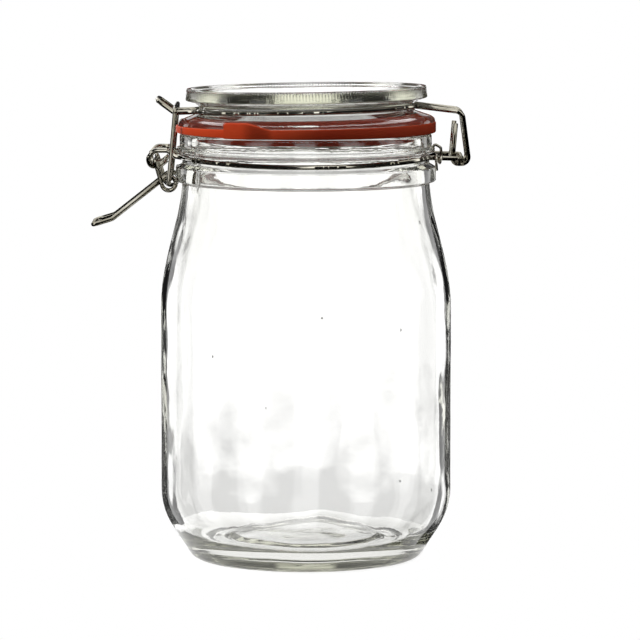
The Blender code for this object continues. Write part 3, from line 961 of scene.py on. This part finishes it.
@dataclass
class WireWork:
    """All the wires of the closure, with the sizes that they share."""

    heavy: float = 0.9
    light: float = 0.8
    ring_steps: int = 72
    ring_bend: float = 2.0
    hinge: tuple[float, float] = (56.4, 147.5)
    hinge_leg_y: float = 12.2
    hinge_bend: float = 1.8
    hook_y: float = 9.7
    hook_inner: tuple[float, float] = (53.1, 145.4)
    hook_outer: tuple[float, float] = (59.3, 145.4)
    finger_tip: tuple[float, float] = (54.4, 160.0)
    hinge_corner: tuple[float, float] = (56.8, 164.2)
    hook_bends: tuple[float, float, float] = (2.1, 2.4, 3.0)
    neck_radius: float = 46.4
    neck_z: float = 147.9
    neck_dip: float = 1.3
    eye_y: float = 11.4
    eye: tuple[Corner, ...] = (
        (-47.2, 148.2, 1.4), (-50.2, 150.4, 1.8), (-54.9, 150.4, 2.6), (-57.4, 147.6, 2.2),
        (-56.4, 144.4, 1.9), (-52.6, 145.1, 1.2), (-50.4, 147.0, 0),
    )
    lid_radius: float = 40.7
    lid_z: float = 165.25
    lid_tilt: float = 0.6
    lid_rise: float = 1.05
    nose_y: float = 10.0
    nose_bend: tuple[float, float] = (-47.7, 163.9)
    nose_tip: tuple[float, float] = (-53.9, 168.4)
    nose_bends: tuple[float, float] = (1.5, 2.5)
    pivot: tuple[float, float] = (-54.8, 147.1)
    pin_end_y: float = 9.6
    crank_y: float = 13.7
    crank_bend: float = 1.2
    coil: tuple[float, float] = (-49.7, 138.5)
    coil_radius: float = 2.5
    coil_steps: int = 36
    handle_y: float = 11.8
    elbow: tuple[float, float] = (-70.3, 125.5)
    tip: tuple[float, float] = (-77.4, 123.3)
    handle_bends: tuple[float, float] = (4.0, 3.0)
    link_y: float = 15.6
    link_pin_end_y: float = 10.4
    link_bar: tuple[float, float] = (-47.2, 166.0)
    link_bends: tuple[float, float] = (1.4, 2.0)

    def front_half(self, radius: float, start_y: float, end_y: float, level: Level) -> list[Bend]:
        """A ring's front half from the hinge side to the clip side.

        Args:
            radius: The ring's radius.
            start_y: How far in front of the middle plane the half starts.
            end_y: How far in front of the middle plane it ends.
            level: Gives the ring's height.

        Returns:
            The corners.
        """
        start, end = -math.asin(start_y / radius), math.asin(end_y / radius) - math.pi
        corners = []
        for i in range(self.ring_steps + 1):
            angle = start + (end - start) * i / self.ring_steps
            x, y = radius * math.cos(angle), radius * math.sin(angle)
            corners.append((Vector((x, y, level.at(x, y))), 0.0))
        corners[0] = (corners[0][0], self.ring_bend)
        corners[-1] = (corners[-1][0], self.ring_bend)
        return corners

    def neck_wire(self, shop: Workshop) -> bpy.types.Object:
        """Bend one wire: the near eye, the ring round the neck, the hinge's bar and the far eye.

        Args:
            shop: Finishes the piece.

        Returns:
            The neck wire.
        """
        level = Level(self.neck_z, 0.0, -self.neck_dip / self.neck_radius ** 2)
        bar = [at_front(self.hinge, 0), at_front(self.hinge, self.hinge_leg_y, self.hinge_bend)]
        eye = [at_front((x, z), self.eye_y, bend) for x, z, bend in self.eye]
        near = bar + self.front_half(self.neck_radius, self.hinge_leg_y, self.eye_y, level) + eye
        bm = BentWire(self.heavy).sweep(mirrored(near)[:-1] + near)
        return shop.finish("neck_ring_wire", bm, Slot.WIRE, Body.JAR, "neck_wire")

    def lid_wire(self, shop: Workshop) -> bpy.types.Object:
        """Bend one wire: hooks over the hinge's bar, the ring in the lid's groove and the nose.

        Args:
            shop: Finishes the piece.

        Returns:
            The lid wire, which leans with the lid.
        """
        level = Level(self.lid_z, self.lid_rise / self.lid_radius, 0.0)
        inner_bend, outer_bend, top_bend = self.hook_bends
        hook = [
            at_front(self.finger_tip, self.hook_y),
            at_front(self.hook_inner, self.hook_y, inner_bend),
            at_front(self.hook_outer, self.hook_y, outer_bend),
            at_front(self.hinge_corner, self.hook_y, top_bend),
        ]
        nose = [
            at_front(self.nose_bend, self.nose_y, self.nose_bends[0]),
            at_front(self.nose_tip, self.nose_y, self.nose_bends[1]),
            at_front(self.nose_tip, 0),
        ]
        near = hook + self.front_half(self.lid_radius, self.hook_y, self.nose_y, level) + nose
        bm = BentWire(self.heavy).sweep(near + mirrored(near)[1:])
        tilt = Matrix.Rotation(math.radians(-self.lid_tilt), 3, "X")
        bmesh.ops.rotate(bm, verts=bm.verts, cent=(0, 0, self.lid_z), matrix=tilt)
        return shop.finish("lid_ring_wire", bm, Slot.WIRE, Body.LID, "lid_wire")

    def lever_coil(self) -> list[Bend]:
        """Wind the near coil, from the crank's foot round to the start of the handle.

        Returns:
            The corners, close enough together to need no bends.
        """
        crank = Vector(self.coil) - Vector(self.pivot)
        crank_angle = math.atan2(crank.y, crank.x) - math.asin(self.coil_radius / crank.length)
        start = crank_angle - math.pi / 2 + 2 * math.pi
        reach = Vector(self.elbow) - Vector(self.coil)
        handle_angle = math.atan2(reach.y, reach.x) + math.asin(self.coil_radius / reach.length)
        end = handle_angle - math.pi / 2 + 4 * math.pi
        corners = []
        for i in range(self.coil_steps + 1):
            t = i / self.coil_steps
            angle = start + (end - start) * t
            place = (self.coil[0] + self.coil_radius * math.cos(angle),
                     self.coil[1] + self.coil_radius * math.sin(angle))
            corners.append(at_front(place, self.crank_y - (self.crank_y - self.handle_y) * t))
        return corners

    def clip_lever(self, shop: Workshop) -> bpy.types.Object:
        """Bend one wire: pivot pins, cranks, coils and the handle that joins the two sides.

        Args:
            shop: Finishes the piece.

        Returns:
            The lever.
        """
        near = [
            at_front(self.pivot, self.pin_end_y),
            at_front(self.pivot, self.crank_y, self.crank_bend),
            *self.lever_coil(),
            at_front(self.elbow, self.handle_y, self.handle_bends[0]),
            at_front(self.tip, self.handle_y, self.handle_bends[1]),
            at_front(self.tip, 0),
        ]
        bm = BentWire(self.light).sweep(near + mirrored(near)[1:])
        return shop.finish("lever_wire", bm, Slot.WIRE, Body.LEVER, "clip_lever")

    def clip_link(self, shop: Workshop) -> bpy.types.Object:
        """Bend one wire: pins in the lever's coils, two legs and the bar over the lid wire's nose.

        Args:
            shop: Finishes the piece.

        Returns:
            The link.
        """
        near = [
            at_front(self.coil, self.link_pin_end_y),
            at_front(self.coil, self.link_y, self.link_bends[0]),
            at_front(self.link_bar, self.link_y, self.link_bends[1]),
            at_front(self.link_bar, 0),
        ]
        bm = BentWire(self.light).sweep(near + mirrored(near)[1:])
        return shop.finish("link_wire", bm, Slot.WIRE, Body.LINK, "clip_link")


@dataclass
class TieWire:
    """The thin wire wound once round the neck wire's near hinge leg."""

    wire: float = 0.5
    sides: int = 12
    winding: float = 1.7
    steps: int = 48
    leg_y: float = 12.2
    level: float = 147.6
    start_x: float = 49.2
    end_x: float = 47.2
    start_angle: float = 50.0
    end_angle: float = -375.0
    curl: tuple[Corner, ...] = ((45.9, 151.4, 0), (46.7, 152.9, 0.8), (48.9, 151.6, 0.8))
    tail: tuple[float, float] = (47.5, 143.2)

    def build(self, shop: Workshop) -> bpy.types.Object:
        """Wind the wire and leave its two tails.

        Args:
            shop: Finishes the piece.

        Returns:
            The tie wire.
        """
        front = self.leg_y + self.winding
        corners = [at_front((x, z), front, bend) for x, z, bend in self.curl]
        for i in range(self.steps + 1):
            t = i / self.steps
            angle = math.radians(self.start_angle + (self.end_angle - self.start_angle) * t)
            place = (self.start_x + (self.end_x - self.start_x) * t,
                     self.level + self.winding * math.sin(angle))
            corners.append(at_front(place, self.leg_y + self.winding * math.cos(angle)))
        corners.append(at_front(self.tail, front))
        bm = BentWire(self.wire, self.sides).sweep(corners)
        return shop.finish("tie_wire_loop", bm, Slot.WIRE, Body.JAR, "tie_wire")


@dataclass(frozen=True)
class Lamp:
    """A soft lamp: where it hangs and its width and height, in metres, and its power in watts."""

    name: str
    place: tuple[float, float, float]
    size: tuple[float, float]
    power: float


@dataclass
class Studio:
    """A pale floor, a white surround, soft lamps and the camera, in metres and degrees.

    The fields that end in heights are ranges of how steeply a ray rises, from -1 to 1, and those
    that end in edges are ranges of the cosine that gives the surround its upright bands. Those
    that end in gloom are its brightness where a band is dark.
    """

    floor_radius: float = 0.058
    floor_sides: int = 128
    floor_drop: float = 0.0002
    floor_white: float = 0.45
    floor_rough: float = 0.9
    floor_glow: float = 0.85
    surround: float = 1.36
    low_surround: float = 0.88
    level_surround: float = 1.28
    level_heights: tuple[float, float] = (-0.155, -0.118)
    ceiling: float = 0.2
    ceiling_heights: tuple[float, float] = (0.08, 0.3)
    sky_low: float = 0.02
    sky_high: float = 1.0
    windows: int = 8
    window_edges: tuple[float, float] = (0.0, 0.35)
    haze_edges: tuple[float, float] = (-0.6, 0.3)
    post_edges: tuple[float, float] = (-0.5, 0.2)
    gloom: float = 0.03
    deep_gloom: float = 0.1
    post_gloom: float = 0.2
    table_gloom: float = 0.2
    table_heights: tuple[float, float] = (-0.85, -0.55)
    banners: int = 3
    banner_turn: float = 0.6
    banner_edges: tuple[float, float] = (0.7, 0.88)
    banner_light: float = 2.3
    banner_heights: tuple[float, float] = (-0.35, -0.2)
    overhead_light: float = 1.5
    overhead_heights: tuple[float, float] = (0.6, 0.8)
    glass_gleam: float = 0.15
    softbox: float = 5.0
    softbox_foot_heights: tuple[float, float] = (0.48, 0.56)
    softbox_head_heights: tuple[float, float] = (0.72, 0.8)
    wall_pair: int = 2
    count_margin: float = 0.5
    lamps: tuple[Lamp, ...] = (
        Lamp("left_lamp", (-1.0, -0.15, 0.4), (0.3, 0.6), 9),
        Lamp("top_lamp", (0.1, 0.1, 1.1), (0.6, 0.6), 3),
    )
    lamp_aim: tuple[float, float, float] = (0, 0, 0.09)
    bounces: int = 24
    glossy_bounces: int = 12
    camera_distance: float = 1.6726
    camera_height: float = 0.2631
    camera_x: float = 0.01415
    lens: float = 257.9
    pitch: float = 6.0

    def camera(self) -> None:
        """Place the camera where the photograph was taken from."""
        data = bpy.data.cameras.new("camera")
        data.lens = self.lens
        camera = bpy.data.objects.new("camera", data)
        place = Matrix.Translation((self.camera_x, -self.camera_distance, self.camera_height))
        camera.matrix_world = place @ Matrix.Rotation(math.radians(90 - self.pitch), 4, "X")
        bpy.context.collection.objects.link(camera)
        bpy.context.scene.camera = camera

    def floor(self) -> None:
        """Lay a round pale floor that glows, just under the jar's foot."""
        bm = bmesh.new()
        bmesh.ops.create_circle(bm, cap_ends=True, segments=self.floor_sides, radius=self.floor_radius)
        bmesh.ops.translate(bm, verts=bm.verts, vec=(0, 0, -self.floor_drop))
        mesh = bpy.data.meshes.new("floor")
        bm.to_mesh(mesh)
        bm.free()
        made = bpy.data.materials.new("floor_white")
        board = Board(made)
        board.join(board.tree.nodes["Principled BSDF"], Roughness=self.floor_rough, Specular_IOR_Level=0.0,
                   Base_Color=(*[self.floor_white] * 3, 1), Emission_Color=(1, 1, 1, 1),
                   Emission_Strength=self.floor_glow)
        mesh.materials.append(made)
        floor = bpy.data.objects.new("floor", mesh)
        bpy.context.collection.objects.link(floor)

    def world(self) -> None:
        """Surround the jar with white that differs by direction and by the way light has come.

        The camera sees it plain, and the floor and the rubber see it brighten upwards. A ray from
        a wire, off the glass, from inside the glass and through many walls each finds bands or
        boxes of its own, and every other ray finds a level band that is brightest just below it.
        """
        world = bpy.data.worlds.new("surround")
        bpy.context.scene.world = world
        board = Board(world)
        path = board.add("LightPath").outputs
        way = board.add("SeparateXYZ", Vector=board.add("TexCoord").outputs["Generated"]).outputs
        walls = path["Transmission Depth"]
        through_pair = board.math("COMPARE", walls, self.wall_pair, self.count_margin)
        through_more = board.math("GREATER_THAN", walls, self.wall_pair + self.count_margin)
        clear = board.math("MULTIPLY", path["Is Glossy Ray"], path["Is Singular Ray"])
        from_wire = board.math("SUBTRACT", path["Is Glossy Ray"], clear)
        from_glass = board.math("MULTIPLY", clear, path["Is Reflection Ray"])
        bounced = board.math("GREATER_THAN", path["Glossy Depth"], self.count_margin)
        trapped = board.math("MULTIPLY", bounced, through_pair)
        deep = board.math("MULTIPLY", bounced, through_more)
        lit = board.spread(way["Z"], self.table_heights, (self.table_gloom, 1))
        upwards = board.spread(way["Z"], self.ceiling_heights, (0, 1))
        turn = board.math("ARCTAN2", way["Y"], way["X"])
        windows = board.math("COSINE", board.math("MULTIPLY", turn, self.windows))
        posts = board.spread(windows, self.post_edges, (self.post_gloom, self.surround))
        level = board.spread(way["Z"], self.level_heights, (self.low_surround, self.level_surround))
        level = board.math("MULTIPLY", lit, board.between(through_pair, level, posts))
        inside = board.spread(windows, self.window_edges, (self.gloom, self.surround))
        inside = board.math("MULTIPLY", lit, inside)
        hazy = board.spread(windows, self.haze_edges, (self.deep_gloom, self.surround))
        hazy = board.math("MULTIPLY", lit, hazy)
        banners = board.math("COSINE", board.math("MULTIPLY_ADD", turn, self.banners, self.banner_turn))
        banners = board.spread(banners, self.banner_edges, (self.gloom, self.banner_light))
        overhead = board.spread(way["Z"], self.overhead_heights, (0, 1))
        on_wire = board.math("MULTIPLY", board.spread(way["Z"], self.banner_heights, (0, 1)),
                             board.between(overhead, banners, self.overhead_light))
        softbox = board.math("MULTIPLY", board.spread(way["Z"], self.softbox_foot_heights, (0, 1)),
                             board.spread(way["Z"], self.softbox_head_heights, (1, 0)))
        gleam = board.between(softbox, self.glass_gleam, self.softbox)
        sky = board.math("MULTIPLY", board.spread(way["Z"], (0, 1), (self.sky_low, self.sky_high)),
                         board.math("GREATER_THAN", way["Z"], 0))
        cases = (
            (path["Is Diffuse Ray"], sky),
            (from_wire, on_wire),
            (from_glass, board.between(upwards, inside, gleam)),
            (trapped, board.between(upwards, inside, self.ceiling)),
            (deep, board.between(upwards, hazy, self.ceiling)),
            (path["Is Camera Ray"], 1.0),
        )
        strength = board.between(upwards, level, self.ceiling)
        for case, value in cases:
            strength = board.between(case, strength, value)
        board.join(board.tree.nodes["Background"], Color=(1, 1, 1, 1), Strength=strength)
        world.cycles.sampling_method = "NONE"

    def hang(self, lamp: Lamp) -> None:
        """Hang a lamp that points at the jar's middle, and which the camera and the glass don't show.

        Args:
            lamp: The lamp.
        """
        data = bpy.data.lights.new(lamp.name, "AREA")
        data.shape = "RECTANGLE"
        data.size, data.size_y = lamp.size
        data.energy = lamp.power
        hung = bpy.data.objects.new(lamp.name, data)
        hung.location = lamp.place
        aim = Vector(self.lamp_aim) - Vector(lamp.place)
        hung.rotation_euler = aim.to_track_quat("-Z", "Y").to_euler()
        hung.visible_camera = False
        hung.visible_glossy = False
        hung.visible_transmission = False
        bpy.context.collection.objects.link(hung)

    def build(self) -> None:
        """Set up everything round the jar."""
        self.floor()
        self.world()
        for lamp in self.lamps:
            self.hang(lamp)
        self.camera()
        view = bpy.context.scene.view_settings
        view.view_transform = "Standard"
        view.look = "None"
        cycles = bpy.context.scene.cycles
        cycles.max_bounces = self.bounces
        cycles.transmission_bounces = self.bounces
        cycles.glossy_bounces = self.glossy_bounces


def main() -> None:
    """Build the studio and every piece of the jar in order."""
    logging.basicConfig(level=logging.INFO, format="%(message)s")
    Studio().build()
    shop = Workshop()
    JarBody().build(shop)
    JarLid().build(shop)
    SealingRing().build(shop)
    wires = WireWork()
    wires.neck_wire(shop)
    wires.lid_wire(shop)
    wires.clip_lever(shop)
    wires.clip_link(shop)
    TieWire().build(shop)


if __name__ == "__main__":
    main()
